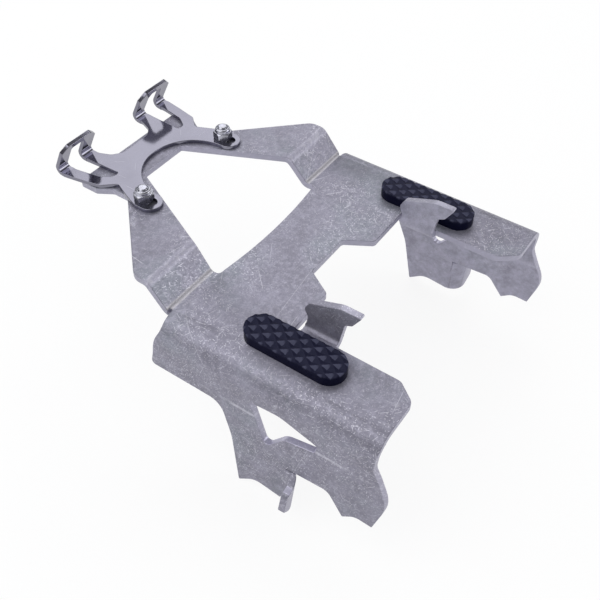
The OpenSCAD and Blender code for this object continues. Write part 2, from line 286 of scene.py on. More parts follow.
def near(tree, value, middle, far, close):
    """1 where a value lies within close of the middle, falling to 0 where it is far from it."""
    return span(tree, maths(tree, "ABSOLUTE", maths(tree, "SUBTRACT", value, middle)), far, close)


def noise(tree, vector, scale, detail=3.0, roughness=0.55, distortion=0.0):
    """Noise between about 0 and 1 whose features are 1 / scale metres wide."""
    return add_node(tree, "ShaderNodeTexNoise", {
        "Vector": vector, "Scale": scale, "Detail": detail, "Roughness": roughness,
        "Distortion": distortion}).outputs[0]


def spread(tree, value, to_low=0.0, to_high=1.0):
    """A noise stretched from the range of most of its values to another one."""
    return span(tree, value, *NOISE_RANGE, to_low, to_high)


def mix_colour(tree, factor, a, b):
    """Two colours or colour sockets mixed by a factor."""
    node = add_node(tree, "ShaderNodeMix", data_type="RGBA")
    for index, value in ((0, factor), (6, a), (7, b)):
        if isinstance(value, bpy.types.NodeSocket):
            tree.links.new(value, node.inputs[index])
        elif index == 0:
            node.inputs[index].default_value = value
        else:
            node.inputs[index].default_value = (*value, 1.0)
    return node.outputs[2]


def shade(colour, factor):
    """A colour made lighter or darker."""
    return tuple(min(1.0, factor * c) for c in colour)


def tinted(colour, factors):
    """A colour with a factor on each of its channels."""
    return tuple(c * factor for c, factor in zip(colour, factors))


def new_material(name):
    """An empty material with an output and a principled shader; returns material, tree, shader and place."""
    material = bpy.data.materials.new(name)
    material.use_nodes = True
    tree = material.node_tree
    tree.nodes.clear()
    shader = add_node(tree, "ShaderNodeBsdfPrincipled")
    output = add_node(tree, "ShaderNodeOutputMaterial")
    tree.links.new(shader.outputs[0], output.inputs[0])
    place = add_node(tree, "ShaderNodeTexCoord").outputs["Object"]
    return material, tree, shader, place


def bump(tree, shader, height, strength, distance):
    """Links a bump of the given height to the shader."""
    node = add_node(tree, "ShaderNodeBump", {
        "Height": height, "Strength": strength, "Distance": distance})
    tree.links.new(node.outputs[0], shader.inputs["Normal"])


def unrolled(tree, place):
    """Place on the sheet as if the bends were pressed flat again: across is x out from the middle plus the
    drop down the blade, along is y plus part of the rise of the step."""
    x, y, z = add_node(tree, "ShaderNodeSeparateXYZ", {0: place}).outputs
    drop = maths(tree, "SUBTRACT", maths(tree, "ABSOLUTE", x), z)
    across = maths(tree, "MULTIPLY", drop, maths(tree, "SIGN", x))
    along = maths(tree, "MULTIPLY_ADD", z, STEP_SHARE, y)
    return add_node(tree, "ShaderNodeCombineXYZ", {0: across, 1: along}).outputs[0], x, y, z


def nicks(tree, flat, cell, length, width, share):
    """Short straight marks, with sizes in mm: in each cell of a random pattern one line through the cell's
    centre, turned by the cell's own random angle. Only the given share of the cells has a mark."""
    cells = add_node(tree, "ShaderNodeTexVoronoi", {"Vector": flat, "Scale": 1.0 / (cell * MM)},
                     voronoi_dimensions="2D")
    chance = add_node(tree, "ShaderNodeSeparateColor", {0: cells.outputs["Color"]})
    apart = add_node(tree, "ShaderNodeVectorMath", {0: flat, 1: cells.outputs["Position"]},
                     operation="SUBTRACT").outputs[0]
    turned = add_node(tree, "ShaderNodeVectorRotate", {
        "Vector": apart, "Angle": maths(tree, "MULTIPLY", chance.outputs[0], math.tau)},
        rotation_type="Z_AXIS").outputs[0]
    line = add_node(tree, "ShaderNodeSeparateXYZ", {0: turned})
    thin = near(tree, line.outputs[1], 0.0, width * MM, 0.0)
    long = near(tree, line.outputs[0], 0.0, length * MM, 0.5 * length * MM)
    chosen = maths(tree, "LESS_THAN", chance.outputs[1], share)
    return product(tree, thin, long, chosen, chance.outputs[2])


def bare_sheet(tree, base, place, cloud, mottle, grain):
    """Colour of the bare sheet: dark and light clouds, cooler in places, with pale mottle and dark grain."""
    cool = tinted(base, COOL_TINT)
    tint = span(tree, noise(tree, place, 30.0, 3.0, 0.6), 0.46, 0.68, 0.0, 0.8)
    dark = mix_colour(tree, tint, shade(base, 0.80), shade(cool, 0.84))
    light = mix_colour(tree, tint, shade(base, 1.14), shade(cool, 1.14))
    colour = mix_colour(tree, spread(tree, cloud), dark, light)
    colour = mix_colour(tree, span(tree, mottle, 0.42, 0.68, 0.0, 0.55), colour, shade(base, 1.42))
    return mix_colour(tree, span(tree, grain, 0.55, 0.25, 0.0, 0.5), colour, shade(base, 0.66))


def inner_faces(tree, facing, x, y, z):
    """1 on the faces of blades and hooks that look to the middle of the object, and at the root of a lobe."""
    outward = product(tree, facing, maths(tree, "SIGN", x))
    root = near(tree, y, LOBE_ROOT_Y, 2.0 * MM, 1.7 * MM)
    below = span(tree, z, -33.0 * MM, -35.0 * MM)
    root = product(tree, root, below, span(tree, outward, 0.4, 0.1))
    return largest(tree, root, span(tree, outward, -0.25, -0.65))


def mark_clusters(tree, place, reach, y):
    """Where the short marks lie: in patches, and more of them where the press rubbed the sheet at a bend."""
    bend = near(tree, reach, BLADE_BEND_X, 12.0 * MM, 0.0)
    step = near(tree, y, STEP_MIDDLE_Y, 11.0 * MM, 0.0)
    patch = span(tree, noise(tree, place, 42.0, 4.0, 0.6), 0.42, 0.62, 0.22, 1.0)
    return maths(tree, "ADD", patch, product(tree, largest(tree, bend, step), 0.4), clamp=True)


def sheet_marks(tree, flat, cluster, inner):
    """Nicks in clusters and long scratches all over, fewer on the inner faces."""
    short = largest(tree, *[nicks(tree, flat, *mark) for mark in SHORT_MARKS])
    long = largest(tree, *[nicks(tree, flat, *mark) for mark in LONG_MARKS])
    marks = largest(tree, product(tree, short, cluster), long)
    return product(tree, marks, span(tree, inner, 0.0, 1.0, 1.0, 0.3))


def crease_mark_and_highlight(tree, flat, mottle, reach, y, z):
    """Die mark along the crease of the blades, strong on both sides of the window, partly a painted crease
    highlight.
    """
    front = near(tree, y, CREASE_FRONT_Y, 6.5 * MM, 4.5 * MM)
    rear = near(tree, y, CREASE_REAR_Y, 6.5 * MM, 4.5 * MM)
    faint = span(tree, noise(tree, flat, 120.0, 3.0), 0.45, 0.65, 0.0, 0.5)
    pressed = largest(tree, front, rear, faint)
    line = near(tree, z, BLADE_CREASE_Z, 0.75 * MM, 0.45 * MM)
    on_blade = span(tree, reach, BLADE_BEND_X, BLADE_BEND_X + 1.5 * MM)
    return product(tree, line, pressed, on_blade, span(tree, mottle, 0.3, 0.6, 0.55, 1.0))


def step_bands(tree, flat, y, z):
    """Upper bend of the arms' step, which gets a painted highlight, the rub of the die on it, and the pale
    band along the lower crease.
    """
    upper = near(tree, y, STEP_UPPER_Y, 3.2 * MM, 1.2 * MM)
    upper = product(tree, upper, span(tree, z, 10.4 * MM, 11.8 * MM))
    smear = span(tree, noise(tree, flat, 330.0, 4.0, 0.7, 0.8), 0.44, 0.68)
    rub = product(tree, upper, largest(tree, nicks(tree, flat, *RUB_MARKS), product(tree, smear, 0.55)))
    lower = near(tree, y, STEP_LOWER_Y, 1.25 * MM, 0.7 * MM)
    lower = product(tree, lower, span(tree, z, 2.6 * MM, 2.8 * MM))
    return upper, rub, lower


def aluminium_material():
    """Tumbled satin aluminium: cloudy patches, fine grain, bright nicks and scratches in clusters, scuffs
    along the bends, a light die mark along the crease of the blades that is partly a painted highlight, a
    painted highlight on the upper bend of the arms' step, inner faces with fewer marks and painted light on
    them, and pale cut walls, with painted light on the ledges of the windows."""
    material, tree, shader, place = new_material("scratched_aluminium")
    flat, x, y, z = unrolled(tree, place)
    reach = maths(tree, "ABSOLUTE", x)
    normal = add_node(tree, "ShaderNodeNewGeometry").outputs["Normal"]
    facing = add_node(tree, "ShaderNodeSeparateXYZ", {0: normal}).outputs
    wall = add_node(tree, "ShaderNodeAttribute", attribute_name="cut_wall").outputs["Fac"]
    base = finish_colour("aluminium")
    cloud = noise(tree, place, 75.0, 5.0, 0.62)
    mottle = noise(tree, place, 520.0, 4.0, 0.65)
    grain = noise(tree, place, 1500.0, 3.0, 0.7)

    inner = inner_faces(tree, facing[0], x, y, z)
    cluster = mark_clusters(tree, place, reach, y)
    marks = sheet_marks(tree, flat, cluster, inner)
    scuff = product(tree, span(tree, noise(tree, flat, 230.0, 5.0, 0.7, 0.6), 0.55, 0.78), cluster)
    # Die mark along the crease, partly a painted highlight of the crease
    die_mark_and_highlight = crease_mark_and_highlight(tree, flat, mottle, reach, y, z)
    upper, rub, lower = step_bands(tree, flat, y, z)
    bright = largest(tree, product(tree, marks, 0.95), product(tree, scuff, 0.4), product(tree, die_mark_and_highlight, 0.42),
                     product(tree, rub, 0.9))

    colour = bare_sheet(tree, base, place, cloud, mottle, grain)
    # Painted light: the inner faces of blades and hooks, and the steps at the root of a lobe, are paler in
    # clouds
    inner_light_cloud = spread(tree, noise(tree, place, 190.0, 6.0, 0.72))
    painted_inner_light = mix_colour(tree, inner_light_cloud, shade(base, 1.1), shade(base, 1.95))
    colour = mix_colour(tree, product(tree, inner, 0.6), colour, painted_inner_light)
    # Painted highlight: a pale band on the upper bend of the arms' step
    colour = mix_colour(tree, product(tree, upper, 0.75), colour, shade(base, 1.9))
    colour = mix_colour(tree, product(tree, lower, 0.8), colour, tinted(base, CREASE_TINT))
    colour = mix_colour(tree, product(tree, wall, 0.7), colour, shade(base, 1.5))
    # Painted light on the upward cut walls of the windows, which lie in shade
    painted_ledge_light = product(tree, span(tree, facing[2], 0.45, 0.75), span(tree, z, -16.5 * MM, -18.5 * MM), wall)
    colour = mix_colour(tree, painted_ledge_light, colour, shade(base, 1.9))
    colour = mix_colour(tree, bright, colour, finish_colour("nick"))
    tree.links.new(colour, shader.inputs["Base Color"])

    rough = maths(tree, "ADD", spread(tree, cloud, 0.48, 0.58), product(tree, bright, -0.16))
    polish = maths(tree, "MULTIPLY_ADD", wall, -0.2, 1.0)
    streak = spread(tree, noise(tree, place, 900.0, 2.0), 0.75, 1.0)
    tree.links.new(product(tree, rough, polish, streak), shader.inputs["Roughness"])
    shader.inputs["Metallic"].default_value = 0.6
    height = maths(tree, "MULTIPLY_ADD", grain, 0.5, product(tree, marks, -0.6))
    bump(tree, shader, height, 0.22, 0.05 * MM)
    return material


def steel_material():
    """Mirror-polished steel: faint polishing haze, fine wipe marks and a few hair scratches."""
    material, tree, shader, place = new_material("polished_steel")
    flat = unrolled(tree, place)[0]
    base = finish_colour("steel")
    haze = noise(tree, place, 60.0, 4.0, 0.6)
    fine = noise(tree, place, 900.0, 2.0, 0.6)
    hair = nicks(tree, flat, *WIPE_MARKS)
    colour = mix_colour(tree, spread(tree, haze), shade(base, 0.92), shade(base, 1.05))
    colour = mix_colour(tree, product(tree, hair, 0.5), colour, WIPE_MARK)
    tree.links.new(colour, shader.inputs["Base Color"])
    rough = maths(tree, "MULTIPLY_ADD", fine, 0.05, span(tree, haze, 0.35, 0.7, 0.05, 0.11))
    tree.links.new(rough, shader.inputs["Roughness"])
    shader.inputs["Metallic"].default_value = 1.0
    bump(tree, shader, noise(tree, place, 140.0, 2.0, 0.5), 0.12, 0.12 * MM)
    return material


def zinc_material():
    """Bright zinc over turned steel: a slight blue bloom, small stains and turning lines."""
    material, tree, shader, place = new_material("zinc_steel")
    base = finish_colour("zinc")
    bloom = noise(tree, place, 420.0, 4.0, 0.6)
    stain = noise(tree, place, 900.0, 3.0, 0.65)
    lines = add_node(tree, "ShaderNodeTexWave", {
        "Vector": place, "Scale": 1900.0, "Distortion": 1.5, "Detail": 2.0, "Detail Scale": 2.0},
        bands_direction="Z").outputs["Fac"]
    colour = mix_colour(tree, spread(tree, bloom), shade(base, 0.86), tinted(base, ZINC_BLOOM))
    colour = mix_colour(tree, span(tree, stain, 0.6, 0.78, 0.0, 0.45), colour, shade(base, 0.5))
    tree.links.new(colour, shader.inputs["Base Color"])
    tree.links.new(span(tree, stain, 0.3, 0.75, 0.17, 0.34), shader.inputs["Roughness"])
    shader.inputs["Metallic"].default_value = 1.0
    bump(tree, shader, lines, 0.08, 0.02 * MM)
    return material


def nylon_material():
    """Natural nylon: matte and slightly cloudy."""
    material, tree, shader, place = new_material("nylon")
    base = finish_colour("nylon")
    cloud = noise(tree, place, 700.0, 3.0)
    colour = mix_colour(tree, cloud, shade(base, 0.88), shade(base, 1.08))
    tree.links.new(colour, shader.inputs["Base Color"])
    tree.links.new(span(tree, cloud, 0.2, 0.8, 0.42, 0.58), shader.inputs["Roughness"])
    bump(tree, shader, noise(tree, place, 2600.0, 2.0), 0.1, 0.02 * MM)
    return material


def rubber_material():
    """Moulded black rubber: a fine mould grain, faint grey dust in places, a slight gloss, and a painted
    highlight that makes one side of each hollow paler."""
    material, tree, shader, place = new_material("black_rubber")
    base = finish_colour("rubber")
    grain = noise(tree, place, 2400.0, 3.0, 0.6)
    dust = noise(tree, place, 190.0, 5.0, 0.65)
    worn = add_node(tree, "ShaderNodeAttribute", attribute_name="worn").outputs["Fac"]
    colour = mix_colour(tree, grain, shade(base, 0.8), shade(base, 1.2))
    colour = mix_colour(tree, span(tree, dust, 0.52, 0.8, 0.0, 0.10), colour, RUBBER_DUST)
    # Painted highlight: one side of each hollow is paler, in patches
    patchy_painted_highlight = product(tree, worn, spread(tree, dust, 0.8, 1.0))
    colour = mix_colour(tree, patchy_painted_highlight, colour, PAINTED_HIGHLIGHT_RUBBER)
    tree.links.new(colour, shader.inputs["Base Color"])
    tree.links.new(span(tree, dust, 0.3, 0.75, 0.24, 0.34), shader.inputs["Roughness"])
    shader.inputs["Specular IOR Level"].default_value = 0.05
    shader.inputs["Specular Tint"].default_value = RUBBER_SHEEN
    bump(tree, shader, grain, 0.12, 0.03 * MM)
    return material


# Meshes

# Distances within which corners are merged: of a computed grid and of a CAD mesh
GRID_WELD = 0.0005 * MM
CAD_WELD = 0.002 * MM

# Angles in degrees: faces of a sheet that meet at less than the first are joined, and edges where faces meet
# at more than the second are rounded
FLAT_ANGLE = 0.4
ROUNDED_ANGLE = 30.0

# Angles in degrees above which pads and turned pieces show a crease
PAD_CREASE = 50.0
TURNED_CREASE = 25.0

# Width of the narrowest face whose edges are rounded
NARROWEST_FACE = 0.07 * MM

# Limits on one part of a face's normal: z of upright faces, x of the cut walls of blades and hooks, y of the
# faces of a bend, and x of the sides of a loop, which is larger than its limit
UPRIGHT = 0.1
BLADE_WALL = 0.4
HOOK_WALL = 0.05
BEND_FACE = 0.2
LOOP_SIDE = 0.9

# Boxes, for x of both signs, where the sheet has steps too fine to round: the root of a hook and of a lobe
FINE_STEPS = np.array([
    [(36.0, -27.2, -0.1), (39.6, -26.2, 3.2)],
    [(63.5, -41.5, -57.0), (69.5, -38.0, -35.5)],
]) * MM


def grid_mesh(name, points):
    """Mesh of a closed strip: points has rows along the profile and columns round it; the columns close on
    themselves, each row is joined to the next, and rows that shrink to a point or a line are merged."""
    rows, columns = points.shape[:2]
    index = np.arange(rows * columns).reshape(rows, columns)
    ahead = np.roll(index, -1, axis=1)
    quads = np.stack([index[:-1], ahead[:-1], ahead[1:], index[1:]], axis=-1).reshape(-1, 4)
    mesh = bpy.data.meshes.new(name)
    mesh.from_pydata(points.reshape(-1, 3).tolist(), [], quads.tolist())
    body = bmesh.new()
    body.from_mesh(mesh)
    bmesh.ops.remove_doubles(body, verts=body.verts, dist=GRID_WELD)
    bmesh.ops.dissolve_degenerate(body, edges=body.edges, dist=GRID_WELD)
    bmesh.ops.recalc_face_normals(body, faces=body.faces)
    body.to_mesh(mesh)
    body.free()
    return mesh


def place_piece(name, mesh, material, slot, body, *nodes):
    """Puts a finished mesh into the scene, on its body and in the place of its CAD nodes."""
    mesh.materials.clear()
    mesh.materials.append(material)
    piece = bpy.data.objects.new(name, mesh)
    bpy.context.scene.collection.objects.link(piece)
    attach(piece, body)
    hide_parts(*nodes)
    return piece


def smooth(mesh, angle):
    """Smooth shading with creases where faces meet at more than the angle in degrees."""
    mesh.polygons.foreach_set("use_smooth", np.ones(len(mesh.polygons), bool))
    mesh.set_sharp_from_angle(angle=math.radians(angle))


def face_table(mesh):
    """Arrays of a mesh: for each face its centre, normal and width, which is the area over the longest edge,
    and for each edge the two faces beside it, or -1 where there are not two, and the places of its ends."""
    faces, edges, loops = len(mesh.polygons), len(mesh.edges), len(mesh.loops)
    centres = np.empty(faces * 3)
    normals = np.empty(faces * 3)
    areas = np.empty(faces)
    totals = np.empty(faces, np.int64)
    loop_edge = np.empty(loops, np.int64)
    ends = np.empty(edges * 2, np.int64)
    points = np.empty(len(mesh.vertices) * 3)
    mesh.polygons.foreach_get("center", centres)
    mesh.polygons.foreach_get("normal", normals)
    mesh.polygons.foreach_get("area", areas)
    mesh.polygons.foreach_get("loop_total", totals)
    mesh.loops.foreach_get("edge_index", loop_edge)
    mesh.edges.foreach_get("vertices", ends)
    mesh.vertices.foreach_get("co", points)
    points = points.reshape(-1, 3)
    ends = ends.reshape(-1, 2)
    lengths = np.linalg.norm(points[ends[:, 0]] - points[ends[:, 1]], axis=1)
    owner = np.repeat(np.arange(faces), totals)
    longest = np.zeros(faces)
    np.maximum.at(longest, owner, lengths[loop_edge])
    order = np.argsort(loop_edge, kind="stable")
    first = np.searchsorted(loop_edge[order], np.arange(edges))
    count = np.bincount(loop_edge, minlength=edges)
    beside = np.full((edges, 2), -1)
    paired = count == 2
    beside[paired, 0] = owner[order[first[paired]]]
    beside[paired, 1] = owner[order[first[paired] + 1]]
    return centres.reshape(-1, 3), normals.reshape(-1, 3), areas / longest, beside, points[ends]


def in_fine_steps(ends):
    """Which edges have both their ends in one of the boxes of fine steps."""
    ends = np.abs(ends * (1, 0, 0)) + ends * (0, 1, 1)
    low, high = FINE_STEPS[:, 0], FINE_STEPS[:, 1]
    inside = (ends[:, :, None] > low) & (ends[:, :, None] < high)
    return inside.all(axis=3).all(axis=1).any(axis=1)


def sheet_copy(name, node, is_wall):
    """Copy of a CAD sheet with its corners merged and its flat faces joined. Sharp edges are marked for
    rounding, except beside very narrow faces and at fine steps; is_wall tells from the centres and normals of
    the faces which of them are cut walls."""
    body = bmesh.new()
    body.from_mesh(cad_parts[node].data)
    bmesh.ops.remove_doubles(body, verts=body.verts, dist=CAD_WELD)
    bmesh.ops.dissolve_limit(body, angle_limit=math.radians(FLAT_ANGLE), use_dissolve_boundaries=False,
                             verts=body.verts, edges=body.edges, delimit={"NORMAL"})
    mesh = bpy.data.meshes.new(name)
    body.to_mesh(mesh)
    body.free()
    centres, normals, narrow, beside, ends = face_table(mesh)
    meet = np.einsum("ij,ij->i", normals[beside[:, 0]], normals[beside[:, 1]])
    fine = np.minimum(narrow[beside[:, 0]], narrow[beside[:, 1]])
    sharp = meet < math.cos(math.radians(ROUNDED_ANGLE))
    rounded = (beside[:, 1] >= 0) & sharp & (fine > NARROWEST_FACE) & ~in_fine_steps(ends)
    weight = mesh.attributes.new("bevel_weight_edge", "FLOAT", "EDGE")
    weight.data.foreach_set("value", rounded.astype(np.float32))
    wall = mesh.attributes.new("cut_wall", "FLOAT", "FACE")
    wall.data.foreach_set("value", is_wall(centres, normals).astype(np.float32))
    smooth(mesh, ROUNDED_ANGLE)
    return mesh


def round_edges(piece, width, steps):
    """Rounds the marked edges of a sheet with a Bevel modifier."""
    bevel = piece.modifiers.new("rounded_edges", "BEVEL")
    bevel.limit_method = "WEIGHT"
    bevel.width = width
    bevel.segments = steps
    bevel.use_clamp_overlap = False
    bevel.harden_normals = True
    bevel.miter_outer = "MITER_ARC"


def plate_walls(centres, normals):
    """Cut walls of the plate: upright faces on the flat part, faces across the sheet on blades and hooks."""
    reach = np.abs(centres[:, 0])
    y, z = centres[:, 1], centres[:, 2]
    lean = np.abs(normals)
    arms = (y > ARMS_FROM_Y) & (z > SHEET_FOOT_Z)
    flat = ((reach < WING_END_X) | arms) & (lean[:, 2] < UPRIGHT) & (z < ARMS_TOP_Z)
    hooks = (reach > HOOK_SPAN_X[0]) & (reach < HOOK_SPAN_X[1]) & (z > HOOK_FROM_Z) & (y < HOOK_BEHIND_Y)
    blades = (reach > WING_END_X) & ~arms & (lean[:, 0] < BLADE_WALL)
    bend = blades & (lean[:, 1] < BEND_FACE) & (z > BLADE_BEND_Z)
    return np.where(hooks, lean[:, 0] < HOOK_WALL, flat | (blades & ~bend))


def clip_walls(centres, normals):
    """Cut walls of the clip: upright faces of the flat part and side faces of the loops."""
    loops = centres[:, 1] > CLIP_LOOPS_Y
    return np.where(loops, np.abs(normals[:, 0]) > LOOP_SIDE, np.abs(normals[:, 2]) < UPRIGHT)


# Turned pieces

# Number of points round an axis, and of rows in one turn of a thread
TURN_STEPS = 96
THREAD_STEPS = 8

# Bolts
HEAD_HEIGHT = 2.4 * MM
HEAD_RADIUS = 4.0 * MM
HEAD_CROWN = 1.6 * MM
HEAD_EASE = 0.2 * MM
FACE_RADIUS = 1.9 * MM
SOCKET_FLATS = 2.5 * MM
SOCKET_DEPTH = 1.4 * MM
SOCKET_EASE = 0.15 * MM
SOCKET_DOME = 0.1 * MM
SHANK_RADIUS = 2.0 * MM
SHANK_EASE = 0.05 * MM
SHANK_PLAIN = 0.4 * MM
SHANK_CHAMFER = 0.5 * MM
SHANK_DISH = 0.02 * MM
THREAD_FADE = 0.7 * MM
THREAD_PLAY = 0.02 * MM
THREAD_FLANK = 1.25

# Lock nuts and their rings; the depths of a pocket's floor and roof are below the top of the nut
NUT_FLATS = 7.0 * MM
NUT_TURN = math.radians(12.0)
NUT_BORE = 2.04 * MM
NUT_FACE = 2.9 * MM
NUT_COLLAR = 3.15 * MM
COLLAR_HEIGHT = 1.7 * MM
COLLAR_RIM = 0.75 * MM
COLLAR_MOUTH = 2.35 * MM
RING_POCKET = 2.64 * MM
POCKET_DEPTHS = (1.5 * MM, 0.4 * MM)
RING_OUTER = 2.6 * MM
RING_ROUNDING = 0.12 * MM


def turning():
    """Angles round an axis."""
    return np.linspace(0.0, math.tau, TURN_STEPS, endpoint=False)


def quarter(steps, first=0):
    """Angles from 0 to 90 degrees in the given number of steps, without those before the first."""
    return np.linspace(0.0, math.pi / 2, steps + 1)[first:]


def hexagon(flats, turn=0.0):
    """Radius of a hexagon of the given width across flats, against the angle."""
    local = np.mod(turning() - turn, math.pi / 3) - math.pi / 6
    return flats / 2 / np.cos(local)


def turned(name, x, y, rows):
    """Closed surface round an upright axis at x, y: each row is a radius and a height, either a number or an
    array over the angles, and the surface runs through the rows in order."""
    angles = turning()
    radii = np.array([np.broadcast_to(r, angles.shape) for r, z in rows])
    heights = np.array([np.broadcast_to(z, angles.shape) for r, z in rows])
    points = np.stack([x + radii * np.cos(angles), y + radii * np.sin(angles), heights], axis=-1)
    return grid_mesh(name, points)


def axis_of(node):
    """Upright axis and height range of a turned CAD node."""
    low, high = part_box(node)
    return (low.x + high.x) / 2, (low.y + high.y) / 2, low.z, high.z


def bolt_mesh(name, node, sizes):
    """Bolt turned about its axis. Below, a domed head with a hexagon socket; above, a shank whose radius
    falls by a triangle wave of height minus angle, cut flat at both its ends, which makes a screw thread; the
    end has a chamfer."""
    x, y, low, high = axis_of(node)
    seat = low + HEAD_HEIGHT
    socket = hexagon(SOCKET_FLATS)
    rows = [
        (0.0, low + SOCKET_DEPTH - SOCKET_DOME), (socket - SOCKET_DOME, low + SOCKET_DEPTH),
        (socket, low + SOCKET_DEPTH - SOCKET_EASE), (socket, low + SOCKET_EASE),
        (socket + SOCKET_EASE, low), (FACE_RADIUS, low),
    ]
    rows += [(HEAD_RADIUS + HEAD_CROWN * (math.sin(a) - 1), low + HEAD_CROWN * (1 - math.cos(a)))
             for a in quarter(10)]
    rows += [
        (HEAD_RADIUS, seat - HEAD_EASE), (HEAD_RADIUS - 0.3 * HEAD_EASE, seat - 0.3 * HEAD_EASE),
        (HEAD_RADIUS - HEAD_EASE, seat), (SHANK_RADIUS + SHANK_EASE, seat),
        (SHANK_RADIUS - SHANK_EASE, seat + SHANK_EASE),
    ]
    start, end = seat + SHANK_PLAIN, high - SHANK_CHAMFER
    angles = turning()
    for z in np.arange(start, end, sizes.thread_pitch / THREAD_STEPS):
        wave = np.mod(z / sizes.thread_pitch - angles / math.tau, 1.0)
        depth = np.clip(0.5 + THREAD_FLANK * (np.abs(2 * wave - 1) - 0.5), 0, 1)
        fade = np.clip((z - start) / THREAD_FADE, 0, 1)
        rows.append((SHANK_RADIUS - THREAD_PLAY - sizes.thread_depth * depth * fade, z))
    rows += [
        (SHANK_RADIUS - 0.08 * MM, high - 0.46 * MM), (SHANK_RADIUS - 0.42 * MM, high - 0.06 * MM),
        (SHANK_RADIUS - SHANK_CHAMFER, high), (0.0, high - SHANK_DISH),
    ]
    return turned(name, x, y, rows)


def nut_mesh(name, node):
    """Lock nut turned about its axis: the radius is the hexagon's, cut by the cones of the chamfers below and
    above, then a round collar with a rolled rim, and inside it the pocket of the ring and the bore."""
    x, y, low, high = axis_of(node)
    hexa = hexagon(NUT_FLATS, NUT_TURN)
    corner = NUT_FLATS / math.sqrt(3)
    top = high - COLLAR_HEIGHT
    pocket_low, pocket_high = (high - depth for depth in POCKET_DEPTHS)
    foot = corner - 0.45 * MM
    rows = [(NUT_BORE, low + 0.45 * MM), (NUT_BORE + 0.3 * MM, low), (NUT_FACE, low)]
    rows += [(np.minimum(hexa, foot + 0.6 * MM * t), low + 0.42 * MM * t) for t in np.linspace(0, 1, 5)]
    rows += [(hexa, low + (top - low) * t) for t in (0.3, 0.5, 0.7)]
    rows += [(np.minimum(hexa, corner + 0.15 * MM - 0.7 * MM * t), top - 0.45 * MM * (1 - t))
             for t in np.linspace(0, 1, 5)]
    rows += [
        (NUT_COLLAR + 0.18 * MM, top), (NUT_COLLAR + 0.05 * MM, top + 0.06 * MM),
        (NUT_COLLAR, top + 0.2 * MM), (NUT_COLLAR, high - 0.8 * MM),
    ]
    rows += [(NUT_COLLAR + COLLAR_RIM * (math.cos(a) - 1), high + COLLAR_RIM * (math.sin(a) - 1))
             for a in quarter(10, first=1)]
    rows += [
        (COLLAR_MOUTH + 0.05 * MM, high), (COLLAR_MOUTH, high - 0.06 * MM), (COLLAR_MOUTH, pocket_high),
        (RING_POCKET, pocket_high), (RING_POCKET, pocket_low), (NUT_BORE, pocket_low),
    ]
    return turned(name, x, y, rows + rows[:1])


def ring_mesh(name, node):
    """Nylon ring turned about its axis: a rectangle with rounded corners."""
    x, y, low, high = axis_of(node)
    inner, outer = NUT_BORE + RING_ROUNDING, RING_OUTER - RING_ROUNDING
    bottom, top = low + RING_ROUNDING, high - RING_ROUNDING
    corners = ((outer, bottom, -90), (outer, top, 0), (inner, top, 90), (inner, bottom, 180))
    rows = [(radius + RING_ROUNDING * math.cos(a), height + RING_ROUNDING * math.sin(a))
            for radius, height, start in corners for a in quarter(4) + math.radians(start)]
    return turned(name, x, y, rows + rows[:1])


# Tread pads

# Place of a hollow's lowest line, from the middle of its cell in widths of a cell
LOWEST = -0.13

# Rounding of the ridges and of the lines where slopes meet, in depths of a hollow
BLUNT = 0.012
SOFT = 0.015

# How much painted highlight the rubber gets: on far slopes against the place along the cell, on right slopes,
# and at least
PAINTED_HIGHLIGHT_ALONG = ((0.08, 0.34), (1.0, 0.3))
PAINTED_HIGHLIGHT_RIGHT = 0.24
PAINTED_HIGHLIGHT_LEAST = 0.14

# Number of points along a straight side and round an end, and of rows over the top, the rim and the side
RUN_STEPS = 150
ARC_STEPS = 96
TOP_ROWS = 35
RIM_ROWS = 6
SIDE_ROWS = 6


def tread(x, y, sizes):
    """Depth of the tread at x, y from the middle of the pad, 0 on the ridges and 1 at the bottom of a hollow,
    and the painted highlight that pales each point. Two sets of slanted ridges bound four-sided hollows:
    across each set the depth grows along a straight slope from a ridge to the lowest line and shrinks to the
    next ridge, and the lesser of the two depths, taken softly, is the hollow. The lowest point is off the
    cell's middle."""
    slant = math.atan2(sizes.tread_across, sizes.tread_along)
    cell = sizes.tread_across * sizes.tread_along / math.hypot(sizes.tread_across, sizes.tread_along)
    right, ahead = x * math.cos(slant), y * math.sin(slant)
    ways = np.stack([right + ahead, right - ahead]) / cell
    off = ways - np.round(ways)
    aside = off[1] - LOWEST
    slope = np.where(aside < 0, 0.5 + LOWEST, 0.5 - LOWEST)
    depths = 1 - np.stack([2 * np.sqrt(off[0] ** 2 + BLUNT ** 2), np.sqrt((aside / slope) ** 2 + BLUNT ** 2)])
    hollow = -SOFT * np.logaddexp(-depths[0] / SOFT, -depths[1] / SOFT)
    # Painted highlight: the far slopes and right slopes of the hollows are made pale
    far_side = (depths[0] < depths[1]) & (off[0] > 0)
    right_side = (depths[1] < depths[0]) & (aside > 0)
    worn = far_side * np.interp(off[1], *PAINTED_HIGHLIGHT_ALONG) + right_side * PAINTED_HIGHLIGHT_RIGHT
    return np.clip(hollow, 0, 1), np.maximum(worn, PAINTED_HIGHLIGHT_LEAST)


